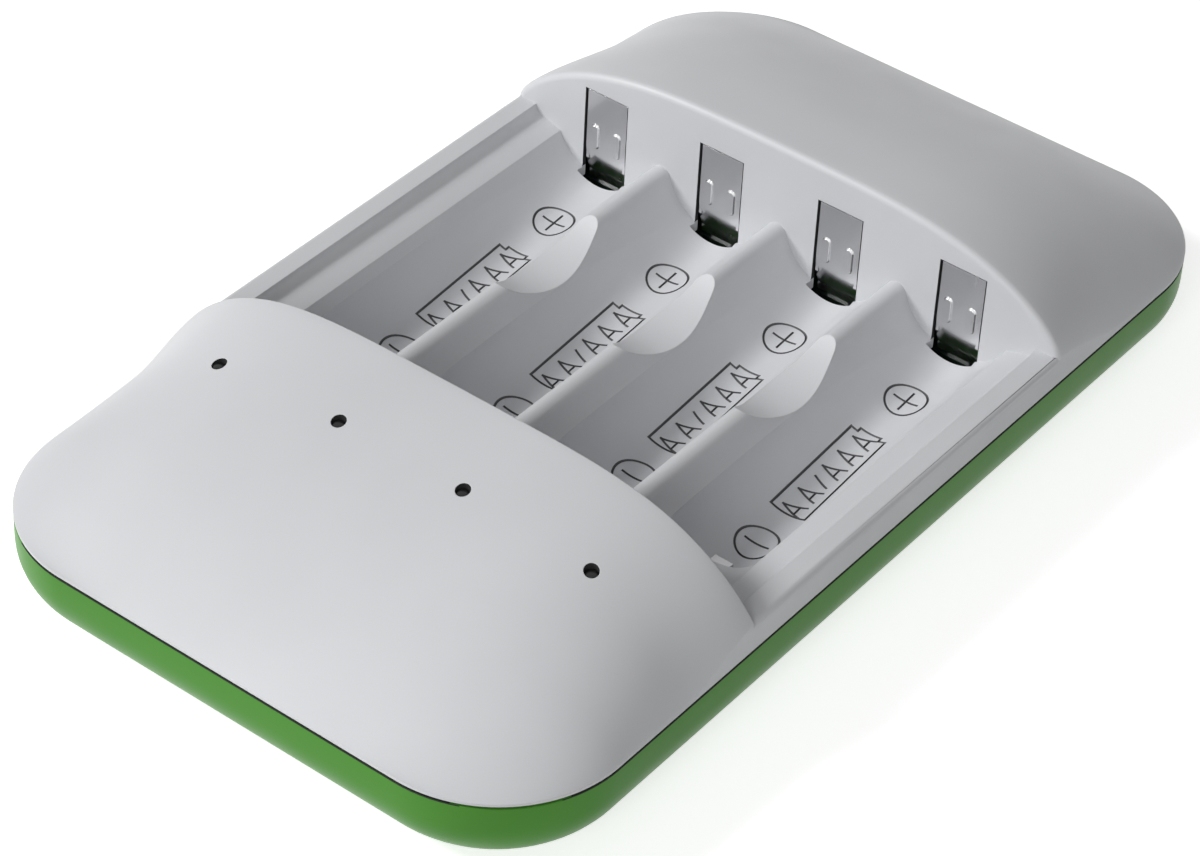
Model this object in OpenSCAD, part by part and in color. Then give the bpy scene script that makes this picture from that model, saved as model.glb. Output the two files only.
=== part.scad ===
// Four-bay charger for AA and AAA cells, lying flat on its rubber feet.
// Origin: centre of the footprint on the table. +Y runs to the back, +Z up.

/* [Body] */
// Distance from the middle of an outer bay to the side of the body
side_w = 13.5; // [13:0.1:16]
// Corner radius of the outline
corner_r = 16; // [14:0.5:20]
// Height of the parting line above the table
seam_h = 10.4; // [10.2:0.1:11]
// Height of the two side rails above the parting line
rail_h = 3.75; // [3.6:0.05:4.2]
// Wall thickness of both shells
wall = 1.6; // [1.4:0.1:1.9]
// Thickness of the bottom shell's floor
floor_t = 1.4; // [1.2:0.1:1.4]
// How far the rubber feet stand out below the floor
foot_h = 0.6; // [0.4:0.1:0.7]
// Rounding between the side and the floor of the bottom shell
edge_r = 6.5; // [5.5:0.5:7]
// Height of the shadow groove along the parting line
seam_gap = 0.25; // [0.1:0.05:0.4]

/* [Hoods] */
// Length of the front hood
front_l = 38.4; // [37:0.2:44]
// Length of the back hood
back_l = 39.4; // [38.6:0.2:44]
// Crown of the front hood above the parting line
front_rise = 14.05; // [13:0.05:16]
// Crown of the back hood above the parting line
back_rise = 14.3; // [14:0.05:16]

/* [Bays] */
// Distance between neighbouring bays
bay_pitch = 17; // [16.8:0.05:17.2]
// Length of the longest AA cell
cell_l = 50.5; // [50:0.1:51]
// How much shorter the longest AAA cell is
cell_less = 6; // [5.5:0.1:6.5]
// Radius of the AA trough
aa_r = 7.5; // [7.4:0.05:7.6]
// Radius of the AAA groove in its floor
aaa_r = 5.85; // [5.6:0.05:6]
// Height of the ridges between the bays
ridge_h = 14; // [13.9:0.1:14.1]
// Height of the AA cell's axis over the ridges
axis_over_ridge = 1.3; // [1.2:0.1:1.5]
// Slope of the AAA groove down to the front, in degrees
aaa_tilt = 5.2; // [4.8:0.1:5.3]
// Depth of the AAA groove below the AA trough at the plus end
aaa_step = 0.2; // [0.1:0.05:0.25]
// Skin under the troughs
skin = 1.5; // [1.4:0.05:1.6]
// Skin under the grooves
groove_skin = 1.3; // [1.1:0.05:1.35]
// Radius of the finger scoop across the ridges
scoop_r = 12.8; // [11:0.2:15]
// Depth of the finger scoop
scoop_depth = 3.4; // [2.5:0.1:3.6]
// Distance of the scoop from the plus wall
scoop_from_wall = 21.7; // [18:0.1:25]

/* [Contacts] */
// Width of the contact windows
window_w = 6.35; // [5.5:0.05:6.6]
// Height of the windows' top over the ridges
window_over_ridge = 6; // [5:0.1:6.1]
// Thickness of the wall around the windows
panel_t = 1.2; // [1:0.1:1.4]
// How far the plus contacts stand behind the wall's face, in their windows
plate_sunk = 0.2; // [0.15:0.05:0.3]
// Thickness of the contact strips
contact_t = 0.4; // [0.3:0.05:0.5]
// Travel of each minus contact
travel = 1.6; // [1:0.1:1.8]
// How far an empty bay's minus contact stands into the cell's length
preload = 0.6; // [0.3:0.1:0.8]
// Room behind the longest cell for the minus contact and its spring
spring_bay = 7; // [6.6:0.1:8]

/* [Lights] */
// Diameter of the light holes
led_hole_d = 1.7; // [1.5:0.1:2.2]
// Distance of the light holes from the pocket
led_back = 10.5; // [9:0.1:12]

/* [Power inlet] */
// Width of the inlet's metal shell
usb_w = 8.94; // [8.8:0.02:9]
// Height of the inlet's metal shell
usb_h = 3.26; // [3.16:0.02:3.3]
// Height of the inlet's centre above the table
usb_z = 8; // [7.9:0.05:8.1]

/* [Boards and screws] */
// Thickness of the circuit boards
board_t = 1.6; // [1:0.1:1.6]
// Radius of the screw bosses
boss_r = 3.2; // [3:0.1:3.6]
// Radius of the screws' shanks
screw_r = 1.3; // [1.1:0.1:1.4]

/* [Hidden] */
$fn = 64;

// overrun of cuts
over = 0.5;

// layout along Y
pocket_l = cell_l - plate_sunk + spring_bay;
body_l = front_l + pocket_l + back_l;
front_y = -body_l / 2;
lip_y = front_y + front_l;
wall_y = lip_y + pocket_l;
back_y = body_l / 2;

// the four bays across
bay_count = 4;
bays = [0 : bay_count - 1];
function bay_x(i) = (i - (bay_count - 1) / 2) * bay_pitch;
outer_bay = bay_x(bay_count - 1);
body_w = 2 * (outer_bay + side_w);

// heights
rail_top = seam_h + rail_h;
floor_in = foot_h + floor_t;
aa_axis = ridge_h + axis_over_ridge;
aa_floor = aa_axis - aa_r;
trough_under = aa_floor - skin;
aaa_floor = aa_floor - aaa_step;
window_top = ridge_h + window_over_ridge;
clear_h = 40;

// outer flank of the outer bays: a sloping ledge, then a cove up to the rail
rail_top_w = 2.95;
rail_edge_r = 0.8;
cove_r = 1.4;
ledge_drop = 3.3;
flank_w = 7;
rail_in = body_w / 2 - rail_top_w;
cove_x = rail_in - cove_r;
ledge_z = aa_axis - ledge_drop;
ledge_x = outer_bay + sqrt(pow(aa_r, 2) - pow(ledge_drop, 2));

// ridge rounding, tangent to both troughs
ridge_reach = aa_r - axis_over_ridge;
ridge_sink = (pow(bay_pitch / 2, 2) - pow(ridge_reach, 2)) / (2 * ridge_reach);
ridge_r = ridge_sink - axis_over_ridge;
ridge_z = aa_axis - ridge_sink;
ridge_tangent_z = aa_axis - aa_r * ridge_sink / (aa_r + ridge_r);
scoop_z = ridge_h - scoop_depth + scoop_r;

// a hood's crown: the straight share of its fall and the power of the rest
front_fall_share = 0.505;
front_fall_power = 2;
back_fall_share = 0.132;
back_fall_power = 2.28;
// a hood's section: how square its shoulders are, at the pocket and at the end
front_square = [4.4, 4.9];
front_bow = [1.08, 1.13];
back_square = [3.5, 4.1];
back_bow = [1.32, 1.2];
// share of a hood's length over which the side rail fades away
front_fade_share = 0.31;
back_fade_share = 0.41;
// how many walls the inner surface steps in where the hood slopes
end_inset_share = 2.1;
side_inset_share = 1.25;
// steps of the hood surfaces, across and along
steps_across = 22;
steps_along = 12;
// upright rim where a hood's surface runs out at the parting line
rim_h = 0.3;
// step over which a stem takes the slope of its hood
slope_step = 1;

// locating lip of the top shell inside the bottom shell
lip_t = 1;
lip_h = 1.6;
fit_gap = 0.15;
seam_groove_d = 0.5;

// steps of the bottom shell around a corner and around its lower edge
pan_corner_steps = 9;
pan_edge_steps = 6;

// plus contacts and the guides that hold them behind the wall
window_sill = 0.6;
notch_d = 1.08;
plate_gap = 0.25;
plate_w = window_w - 2 * plate_gap;
plate_y = wall_y + plate_sunk;
plate_top = window_top - plate_gap;
rib_x = 1.6;
rib_r = 0.6;
rib_rise = 4.4;
rib_l = 2.4;
rib_proud = 0.25;
solder_l = 3.2;
solder_w = 3;
guide_w = 1.2;
guide_d = 1.6;
guide_gap = 0.1;
wing_rise = 2;
wing_drop = 3.5;

// minus contacts: an upright for AA, a tab for AAA, a strip between and behind
minus_y = plate_y - cell_l + preload;
minus_short_y = minus_y + cell_less;
tab_gap = 0.7;
groove_end = minus_short_y - contact_t - travel - tab_gap;
strip_gap = 0.25;
strip_z = trough_under - strip_gap - contact_t;
strip_w = 2.4;
upright_w = 4.4;
upright_h = 5.95;
tab_h = 1.3;
tail_l = 5.5;
slot_gap = 0.15;
stop_gap = 0.1;

// springs
coil_r = 1.5;
wire_r = 0.25;
coil_turns = 5;
coil_steps = 10;
wire_sides = 6;
coil_rise = 4;
coil_gap = 0.05;
coil_z = strip_z + coil_rise;
coil_from = minus_y - contact_t - coil_gap - wire_r;
coil_to = lip_y + coil_gap + wire_r;
post_r = 1.05;
post_l = 1.4;

// boards
slide_gap = 0.1;
front_board_top = strip_z - slide_gap;
main_top = usb_z - usb_h / 2;
board_side = 6;
board_w = body_w - 2 * board_side;
board_inset = 5.5;
board_corner_r = 11;
board_front_gap = 0.3;
board_back_gap = 1.2;
board_over_lip = 6.7;
main_board_y = [plate_y + contact_t + board_front_gap, back_y - wall - board_back_gap];
front_board_y = [front_y + board_inset, lip_y + board_over_lip];
boss_gap = 0.3;
support_r = 2.2;
// places of the supports, as shares of a board's width and length
main_shares = [[-0.21, 0.16], [0.21, 0.16], [-0.21, 0.8], [0.21, 0.8]];
front_shares = [[-0.3, 0.14], [0.3, 0.14], [-0.33, 0.84], [0.33, 0.84]];

// lights
led_body = [3, 1.6, 0.8];
led_y = lip_y - led_back;
lens_r = 0.7;
guide_r = 0.8;
guide_sink = 0.45;
collar_r = 1.5;
tube_r = 2.3;
tube_low = 15;
guide_air = 0.25;

// screws, from below; the front ones stand clear of the lights' tubes, and the
// back ones of the parts on the main board
tube_gap = 0.8;
screw_side = 11;
screw_x = body_w / 2 - screw_side;
front_screw = led_back + tube_r + tube_gap + boss_r;
back_screw = 17.8;
screw_spots = [[-screw_x, lip_y - front_screw], [screw_x, lip_y - front_screw],
    [-screw_x, wall_y + back_screw], [screw_x, wall_y + back_screw]];
head_r = 2.4;
head_h = 1.6;
head_gap = 0.3;
head_seat = 2.2;
screw_l = 11;
screw_point = 1.5;
screw_tip_r = 0.5;
drive_r = 1.2;
drive_d = 1;
pilot_gap = 0.02;
// top of the screws' pilot holes above the table
pilot_top = 14.4;

// feet
foot_r = 4.5;
foot_t = 1.2;
foot_gap = 0.1;
foot_in = [14, 13.6];
foot_edge_r = 0.3;

// link cable between the boards
cable_w = 7;
cable_t = 0.7;
cable_lift = 0.1;
cable_in = 2;

// power inlet
usb_l = 7.35;
usb_t = 0.3;
usb_back_t = 0.8;
usb_sunk = 0.4;
usb_front = back_y - usb_sunk;
usb_gap = 0.2;
tongue = [6.7, 5.4, 0.7];
tongue_sunk = 0.9;

// parts on the main board: places from its middle, sizes
chip = [6, 6, 1];
chip_at = [-4, 16];
coil_body = [7.4, 7.4, 4.2];
coil_at = [10, 20];
coil_cap_r = 3;
coil_cap_h = 0.5;
can_r = 3.15;
can_h = 5.8;
can_base = [6.6, 6.6, 0.8];
can_at = [-16, 13.5];
can_pitch = 9.5;
can_spots = [can_at, can_at + [0, can_pitch]];
transistor = [4, 5, 1.5];
transistor_row = 9;

function ease(t) = t * t * (3 - 2 * t);

// Half width of a rounded outline at the distance u from a hood's pocket edge.
function half_w(u, l, hw, r) = hw - r + sqrt(max(r * r - pow(max(0, u - l + r), 2), 0));

// A hood is a list: length, half width, corner radius, rise, rail, straight
// share, power, squareness, bow, fade share. in = 0 is the outer surface of
// the wall, in = 1 its inner one.
function hood_form(in, back) =
    [(back ? back_l : front_l) - in * end_inset_share * wall,
        body_w / 2 - in * side_inset_share * wall, corner_r - in * side_inset_share * wall,
        (back ? back_rise : front_rise) - in * wall, rail_h - in * wall,
        back ? back_fall_share : front_fall_share, back ? back_fall_power : front_fall_power,
        back ? back_square : front_square, back ? back_bow : front_bow,
        back ? back_fade_share : front_fade_share];

// Height of a hood over the parting line at the share t of its length and the
// share s of its half width.
function hood_h(f, t, s) =
    let (k = ease(min(t / f[9], 1)),
        crown = rim_h + (f[3] - rim_h) * (1 - f[5] * t - (1 - f[5]) * pow(t, f[6])),
        base = min(rim_h + (f[4] - rim_h) * (1 - k), crown),
        n = f[7][0] + (f[7][1] - f[7][0]) * k,
        m = f[8][0] + (f[8][1] - f[8][0]) * k)
    base + (crown - base) * pow(1 - pow(min(abs(s), 1), n), 1 / m);

// Height of a hood's surface above the table, at x and the distance u.
function hood_z(f, x, u) = seam_h + hood_h(f, u / f[0], x / half_w(u, f[0], f[1], f[2]));

// Points of a hood's surface, row by row from its pocket edge, u running from
// the distance given to the hood's end.
function hood_points(f, start) =
    [for (i = [0 : steps_along])
        let (t = sin(90 * i / steps_along), u = start + t * (f[0] - start),
            w = half_w(u, f[0], f[1], f[2]))
        for (j = [0 : steps_across])
            let (s = sin(180 * j / steps_across - 90))
            [w * s, u, seam_h + hood_h(f, u / f[0], s)]];

// Numbers of the grid's points around its border, in order.
border = let (row = steps_across + 1, nt = steps_along)
    concat([for (i = [0 : nt]) i * row], [for (j = [1 : steps_across]) nt * row + j],
        [for (i = [nt - 1 : -1 : 0]) i * row + steps_across], [for (j = [steps_across - 1 : -1 : 1]) j]);

function border_low(points) = [for (k = border) [points[k][0], points[k][1], seam_h]];

// Faces of one surface of a hood: its grid, and its border down to the parting
// line. base and low are the numbers of its first points.
function skin_faces(base, low) =
    let (row = steps_across + 1, n = len(border))
    concat(
        [for (i = [0 : steps_along - 1]) for (j = [0 : steps_across - 1])
            let (a = base + i * row + j) [a, a + row, a + row + 1]],
        [for (i = [0 : steps_along - 1]) for (j = [0 : steps_across - 1])
            let (a = base + i * row + j) [a, a + row + 1, a + 1]],
        [for (k = [0 : n - 1])
            [base + border[k], low + k, low + (k + 1) % n, base + border[(k + 1) % n]]]);

function flipped(faces) = [for (f = faces) [for (k = [len(f) - 1 : -1 : 0]) f[k]]];

// The hollow pillow of a hood, open below, its pocket wall as thick as given.
module pillow(back, pocket_wall) {
    outer = hood_points(hood_form(0, back), 0);
    inner = hood_points(hood_form(1, back), pocket_wall);
    n = len(border);
    a = len(outer);
    b = a + n;
    c = b + len(inner);
    rim = [for (k = [0 : n - 1]) [a + k, c + k, c + (k + 1) % n, a + (k + 1) % n]];
    polyhedron(concat(outer, border_low(outer), inner, border_low(inner)),
        concat(skin_faces(0, a), flipped(skin_faces(b, c)), rim), convexity = 6);
}

module rounded(w, l, r) {
    square([w, l - 2 * r], center = true);
    square([w - 2 * r, l], center = true);
    for (sx = [-1, 1]) {
        for (sy = [-1, 1]) {
            translate([sx * (w / 2 - r), sy * (l / 2 - r)]) circle(r);
        }
    }
}

module stadium(w, h) {
    square([w - h, h], center = true);
    for (s = [-1, 1]) {
        translate([s * (w - h) / 2, 0]) circle(h / 2);
    }
}

// Extrudes a drawing in X and Z along Y, from one y to a higher one.
module along_y(from, to) {
    translate([0, to, 0]) rotate([90, 0, 0]) linear_extrude(to - from) children();
}

// A box centred on x, from one y and z to another.
module bar(x, w, y, z) {
    translate([x - w / 2, y[0], z[0]]) cube([w, y[1] - y[0], z[1] - z[0]]);
}

// Section of the tray's material, before the bays are cut out of it.
module tray_section() {
    intersection() {
        union() {
            for (i = bays) {
                translate([bay_x(i), aa_axis]) circle(aa_r + skin);
            }
            for (s = [0, 1]) {
                mirror([s, 0]) translate([body_w / 2 - flank_w, seam_h]) {
                    square([flank_w - rail_edge_r, rail_h]);
                    square([flank_w, rail_h - rail_edge_r]);
                    translate([flank_w - rail_edge_r, rail_h - rail_edge_r]) circle(rail_edge_r);
                }
            }
        }
        translate([-body_w / 2, 0]) square([body_w, rail_top]);
    }
}

// Section of the room over the tray: troughs, ridges, ledges and coves.
module room_section() {
    for (i = bays) {
        translate([bay_x(i), aa_axis]) circle(aa_r);
    }
    difference() {
        translate([-outer_bay, ridge_tangent_z]) square([2 * outer_bay, clear_h]);
        for (i = [1 : bay_count - 1]) {
            translate([bay_x(i) - bay_pitch / 2, ridge_z]) circle(ridge_r);
        }
    }
    for (s = [0, 1]) {
        mirror([s, 0]) {
            polygon([[outer_bay, ledge_z], [ledge_x, ledge_z], [cove_x, rail_top - cove_r],
                [cove_x, clear_h], [outer_bay, clear_h]]);
            translate([cove_x, rail_top]) circle(cove_r);
            translate([cove_x, rail_top]) square([cove_r, clear_h]);
        }
    }
}

// The AAA groove of one bay, sloping down to the front, between two places in y.
module groove(i, r, from, to) {
    intersection() {
        translate([bay_x(i), wall_y, aaa_floor + aaa_r / cos(aaa_tilt)])
            rotate([90 + aaa_tilt, 0, 0])
            cylinder(r = r, h = 3 * pocket_l, center = true);
        bar(bay_x(i), bay_pitch, [from, to], [0, rail_top]);
    }
}

// A round stem under a hood, its top sunk in the wall and sloping with it. The
// slope is taken over a short step.
module stem(back, x, u, r, low) {
    f = hood_form(0, back);
    z = hood_z(f, x, u);
    fall = atan((z - hood_z(f, x, u + slope_step)) / slope_step);
    lean = atan((z - hood_z(f, x + slope_step, u)) / slope_step);
    intersection() {
        translate([x, u, low]) cylinder(r = r, h = clear_h);
        translate([x, u, z - wall / 2]) rotate([-fall, lean, 0]) translate([-clear_h, -clear_h, -clear_h])
            cube([2 * clear_h, 2 * clear_h, clear_h]);
    }
}

module lip_ring() {
    inset = wall + fit_gap;
    difference() {
        translate([0, 0, seam_h - lip_h]) linear_extrude(lip_h) difference() {
            rounded(body_w - 2 * inset, body_l - 2 * inset, corner_r - inset);
            rounded(body_w - 2 * (inset + lip_t), body_l - 2 * (inset + lip_t),
                corner_r - inset - lip_t);
        }
        bar(0, usb_w + 4 * usb_gap, [back_y - 2 * wall - lip_t, back_y], [0, seam_h]);
    }
}

// The tray with its troughs, grooves, ridges, ledges and scoop.
module tray() {
    difference() {
        union() {
            along_y(lip_y - wall / 2, wall_y + panel_t / 2) tray_section();
            for (i = bays) {
                groove(i, aaa_r + groove_skin, groove_end - groove_skin, wall_y + panel_t / 2);
            }
            intersection() {
                translate([0, wall_y - scoop_from_wall, scoop_z]) rotate([0, 90, 0])
                    cylinder(r = scoop_r + skin, h = 2 * outer_bay, center = true);
                bar(0, 2 * outer_bay, [lip_y, wall_y], [aa_floor, ridge_h]);
            }
        }
        along_y(lip_y, wall_y) room_section();
        translate([0, wall_y - scoop_from_wall, scoop_z]) rotate([0, 90, 0])
            cylinder(r = scoop_r, h = 2 * outer_bay, center = true);
        for (i = bays) {
            groove(i, aaa_r, groove_end, wall_y);
            bar(bay_x(i), window_w, [wall_y - notch_d, wall_y + panel_t],
                [trough_under - over, aa_floor + window_sill]);
            bar(bay_x(i), window_w, [wall_y - slot_gap, wall_y + panel_t],
                [aa_floor, window_top]);
            bar(bay_x(i), upright_w + 2 * slot_gap,
                [minus_y - contact_t - travel - stop_gap, minus_y + stop_gap],
                [strip_z - slot_gap, ledge_z]);
            bar(bay_x(i), strip_w + 2 * slot_gap, [groove_end - groove_skin - over, groove_end + over],
                [strip_z - slot_gap, trough_under - slide_gap]);
        }
    }
    for (i = bays) {
        translate([bay_x(i), lip_y - wall / 2, coil_z]) rotate([-90, 0, 0])
            cylinder(r = post_r, h = wall / 2 + post_l);
    }
}

// The front hood with its screw bosses and the tubes of the light guides.
module front_hood() {
    difference() {
        union() {
            pillow(false, wall);
            for (s = [-1, 1]) {
                stem(false, s * screw_x, front_screw, boss_r, seam_h);
            }
            for (i = bays) {
                stem(false, bay_x(i), led_back, tube_r, tube_low);
            }
        }
        for (i = bays) {
            translate([bay_x(i), led_back, tube_low - over]) cylinder(d = led_hole_d, h = clear_h);
        }
        for (s = [-1, 1]) {
            translate([s * screw_x, front_screw, seam_h - over])
                cylinder(r = screw_r + pilot_gap, h = pilot_top - seam_h + over);
        }
    }
}

// The back hood with its screw bosses, contact windows and contact guides.
module back_hood() {
    difference() {
        union() {
            pillow(true, panel_t);
            for (s = [-1, 1]) {
                stem(true, s * screw_x, back_screw, boss_r, seam_h);
            }
            for (i = bays) {
                for (s = [-1, 1]) {
                    bar(bay_x(i) + s * (plate_w / 2 + guide_gap + guide_w / 2), guide_w,
                        [panel_t / 2, panel_t + guide_d], [seam_h, window_top - guide_w]);
                }
            }
        }
        for (i = bays) {
            bar(bay_x(i), window_w, [-over, panel_t + over], [seam_h - over, window_top]);
        }
        for (s = [-1, 1]) {
            translate([s * screw_x, back_screw, seam_h - over])
                cylinder(r = screw_r + pilot_gap, h = pilot_top - seam_h + over);
        }
    }
}

module top_shell() {
    color("gainsboro") {
        tray();
        translate([0, wall_y, 0]) back_hood();
        translate([0, lip_y, 0]) mirror([0, 1, 0]) front_hood();
        lip_ring();
    }
}

// Points of the outline, stepped in by the inset, at the height z.
function outline(inset, z) =
    let (r = corner_r - inset, x = body_w / 2 - corner_r, y = body_l / 2 - corner_r)
    [for (q = [0 : 3]) for (k = [0 : pan_corner_steps])
        let (a = 90 * (q + k / pan_corner_steps))
        [(q == 0 || q == 3 ? x : -x) + r * cos(a), (q < 2 ? y : -y) + r * sin(a), z]];

// Rings of the pan's surface from its floor up around the rounding to its rim.
function pan_rings(inset, base) =
    let (e = edge_r - inset)
    concat(
        [for (k = [0 : pan_edge_steps]) let (a = 90 * k / pan_edge_steps)
            each outline(inset + e * (1 - sin(a)), base + e * (1 - cos(a)))],
        outline(inset, seam_h));

// The hollow pan of the bottom shell, open at the parting line.
module pan() {
    outer = pan_rings(0, foot_h);
    inner = pan_rings(wall, floor_in);
    ring = 4 * (pan_corner_steps + 1);
    rings = pan_edge_steps + 2;
    n = len(outer);
    walls = [for (i = [0 : rings - 2]) for (k = [0 : ring - 1])
        let (a = i * ring + k, b = i * ring + (k + 1) % ring)
        each [[a, a + ring, b + ring], [a, b + ring, b]]];
    top = n - ring;
    faces = concat(walls, [[for (k = [0 : ring - 1]) k]],
        [for (f = concat(walls, [[for (k = [0 : ring - 1]) k]])) [for (k = [len(f) - 1 : -1 : 0]) f[k] + n]],
        [for (k = [0 : ring - 1]) [top + k, top + k + n, top + (k + 1) % ring + n, top + (k + 1) % ring]]);
    polyhedron(concat(outer, inner), faces, convexity = 4);
}

// The shadow groove that runs around the outside of the parting line.
module seam_groove() {
    translate([0, 0, seam_h - seam_gap]) linear_extrude(seam_gap + over) difference() {
        rounded(body_w + 2 * over, body_l + 2 * over, corner_r + over);
        rounded(body_w - 2 * seam_groove_d, body_l - 2 * seam_groove_d, corner_r - seam_groove_d);
    }
}

// A place on a board, given as shares of its width and length.
function board_spot(span, p) = [p[0] * board_w, span[0] + p[1] * (span[1] - span[0])];

module bottom_shell() {
    color("forestgreen") difference() {
        union() {
            pan();
            for (p = screw_spots) {
                translate([p[0], p[1], foot_h + floor_t / 2])
                    cylinder(r = boss_r, h = seam_h - foot_h - floor_t / 2);
            }
            for (p = main_shares) {
                translate(concat(board_spot(main_board_y, p), [foot_h + floor_t / 2]))
                    cylinder(r = support_r, h = main_top - board_t - foot_h - floor_t / 2);
            }
            for (p = front_shares) {
                translate(concat(board_spot(front_board_y, p), [foot_h + floor_t / 2]))
                    cylinder(r = support_r, h = front_board_top - board_t - foot_h - floor_t / 2);
            }
        }
        seam_groove();
        for (p = screw_spots) {
            translate([p[0], p[1], -over]) cylinder(r = head_r + head_gap, h = foot_h + head_seat + over);
            translate([p[0], p[1], 0]) cylinder(r = screw_r + pilot_gap, h = seam_h + over);
        }
        for (sx = [-1, 1]) {
            for (sy = [-1, 1]) {
                translate([sx * (body_w / 2 - foot_in[0]), sy * (body_l / 2 - foot_in[1]), 0])
                    cylinder(r = foot_r + foot_gap, h = foot_t);
            }
        }
        translate([0, 0, usb_z]) along_y(back_y - 2 * wall, back_y + over)
            stadium(usb_w + 2 * usb_gap, usb_h + 2 * usb_gap);
    }
}

// A board's outline: square corners at the pocket, rounded ones at its end.
module board(span, top, end) {
    l = span[1] - span[0];
    difference() {
        translate([0, span[0], top - board_t]) linear_extrude(board_t) translate([0, l / 2])
            mirror([0, end ? 0 : 1]) {
            translate([-board_w / 2, -l / 2]) square([board_w, l - board_corner_r]);
            translate([board_corner_r - board_w / 2, -l / 2]) square([board_w - 2 * board_corner_r, l]);
            for (s = [-1, 1]) {
                translate([s * (board_w / 2 - board_corner_r), l / 2 - board_corner_r])
                    circle(board_corner_r);
            }
        }
        for (p = screw_spots) {
            translate([p[0], p[1], 0]) cylinder(r = boss_r + boss_gap, h = clear_h);
        }
    }
}

module main_board() {
    color("darkgreen") board(main_board_y, main_top, true);
}

module front_board() {
    color("darkgreen") board(front_board_y, front_board_top, false);
}

// Flat cable on the floor under the middle ridge, its ends turned up to the boards.
module link_cable() {
    from = front_board_y[1] - cable_in - cable_t;
    to = main_board_y[0] + cable_in;
    low = floor_in + cable_lift;
    color("dimgray") {
        bar(0, cable_w, [from, to + cable_t], [low, low + cable_t]);
        bar(0, cable_w, [from, from + cable_t], [low, front_board_top - board_t]);
        bar(0, cable_w, [to, to + cable_t], [low, main_top - board_t]);
    }
}

module usb_shell() {
    color("silver") translate([0, 0, usb_z]) {
        difference() {
            along_y(usb_front - usb_l, usb_front) stadium(usb_w, usb_h);
            along_y(usb_front - usb_l + usb_back_t, usb_front + over)
                stadium(usb_w - 2 * usb_t, usb_h - 2 * usb_t);
        }
    }
}

module usb_tongue() {
    color("black") bar(0, tongue[0], [usb_front - usb_l + usb_back_t, usb_front - tongue_sunk],
        [usb_z - tongue[2] / 2, usb_z + tongue[2] / 2]);
}

// A block on the main board, its middle at a place counted from the board's edge.
module on_board(p, size) {
    translate([p[0] - size[0] / 2, main_board_y[0] + p[1] - size[1] / 2, main_top]) cube(size);
}

module charge_chip() {
    color("black") on_board(chip_at, chip);
}

module power_inductor() {
    color("gray") {
        on_board(coil_at, coil_body);
        translate([coil_at[0], main_board_y[0] + coil_at[1], main_top + coil_body[2]])
            cylinder(r = coil_cap_r, h = coil_cap_h);
    }
}

module capacitors() {
    color("silver") for (p = can_spots) {
        on_board(p, can_base);
        translate([p[0], main_board_y[0] + p[1], main_top + can_base[2]]) cylinder(r = can_r, h = can_h);
    }
}

module transistors() {
    color("black") for (i = bays) {
        on_board([bay_x(i), transistor_row], transistor);
    }
}

// Plus contact: an upright strip in its window, with two embossed ribs, two wings
// turned back between the guides, and a foot on the main board.
module plus_contact(i) {
    color("lightgray") {
        bar(bay_x(i), plate_w, [plate_y, plate_y + contact_t], [main_top + contact_t, plate_top]);
        for (s = [-1, 1]) {
            bar(bay_x(i) + s * (plate_w - contact_t) / 2, contact_t,
                [plate_y, wall_y + panel_t + guide_d], [aa_floor + wing_rise, window_top - wing_drop]);
        }
        bar(bay_x(i), solder_w, [plate_y, plate_y + contact_t + solder_l], [main_top, main_top + contact_t]);
        for (s = [-1, 1]) {
            translate([bay_x(i) + s * rib_x, plate_y + rib_r - rib_proud, aa_floor + rib_rise]) {
                cylinder(r = rib_r, h = rib_l);
                sphere(rib_r);
                translate([0, 0, rib_l]) sphere(rib_r);
            }
        }
    }
}

// Minus contact: a strip that slides under the trough, an upright with a round
// top for AA cells and a tab turned down into the groove for AAA cells.
module minus_contact(i) {
    color("lightgray") {
        bar(bay_x(i), strip_w, [minus_y - contact_t - tail_l, minus_short_y], [strip_z, strip_z + contact_t]);
        translate([bay_x(i), 0, 0]) along_y(minus_y - contact_t, minus_y) {
            translate([0, strip_z + upright_h - upright_w / 2]) circle(d = upright_w);
            translate([-upright_w / 2, strip_z]) square([upright_w, upright_h - upright_w / 2]);
        }
        bar(bay_x(i), strip_w, [minus_short_y - contact_t, minus_short_y], [strip_z - tab_h, strip_z]);
    }
}

// A coil spring along Y: one ring of the wire for each step of its turns.
module minus_spring(i) {
    rings = coil_turns * coil_steps;
    l = coil_from - coil_to;
    function at(k, q) =
        let (a = 360 * k / coil_steps, b = 360 * q / wire_sides, r = coil_r + wire_r * cos(b))
        [r * cos(a), coil_from - l * k / rings + wire_r * sin(b), r * sin(a)];
    points = [for (k = [0 : rings]) for (q = [0 : wire_sides - 1]) at(k, q)];
    faces = concat(
        [for (k = [0 : rings - 1]) for (q = [0 : wire_sides - 1])
            let (a = k * wire_sides + q, b = k * wire_sides + (q + 1) % wire_sides)
            [a, b, b + wire_sides, a + wire_sides]],
        [[for (q = [wire_sides - 1 : -1 : 0]) q]],
        [[for (q = [0 : wire_sides - 1]) rings * wire_sides + q]]);
    color("silver") translate([bay_x(i), 0, coil_z]) polyhedron(points, faces, convexity = 8);
}

module led(i) {
    color("white") {
        translate([bay_x(i) - led_body[0] / 2, led_y - led_body[1] / 2, front_board_top]) cube(led_body);
        translate([bay_x(i), led_y, front_board_top + led_body[2]]) intersection() {
            sphere(lens_r);
            cylinder(r = lens_r, h = lens_r);
        }
    }
}

// A light guide: a pin in the hood's hole, on a thicker stem over its light.
module light_guide(i) {
    top = hood_z(hood_form(0, false), bay_x(i), led_back) - guide_sink;
    low = front_board_top + led_body[2] + lens_r + guide_air;
    color("gray") {
        translate([bay_x(i), led_y, low]) cylinder(r = collar_r, h = tube_low - fit_gap - low);
        translate([bay_x(i), led_y, low]) cylinder(r = guide_r, h = top - low);
    }
}

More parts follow.
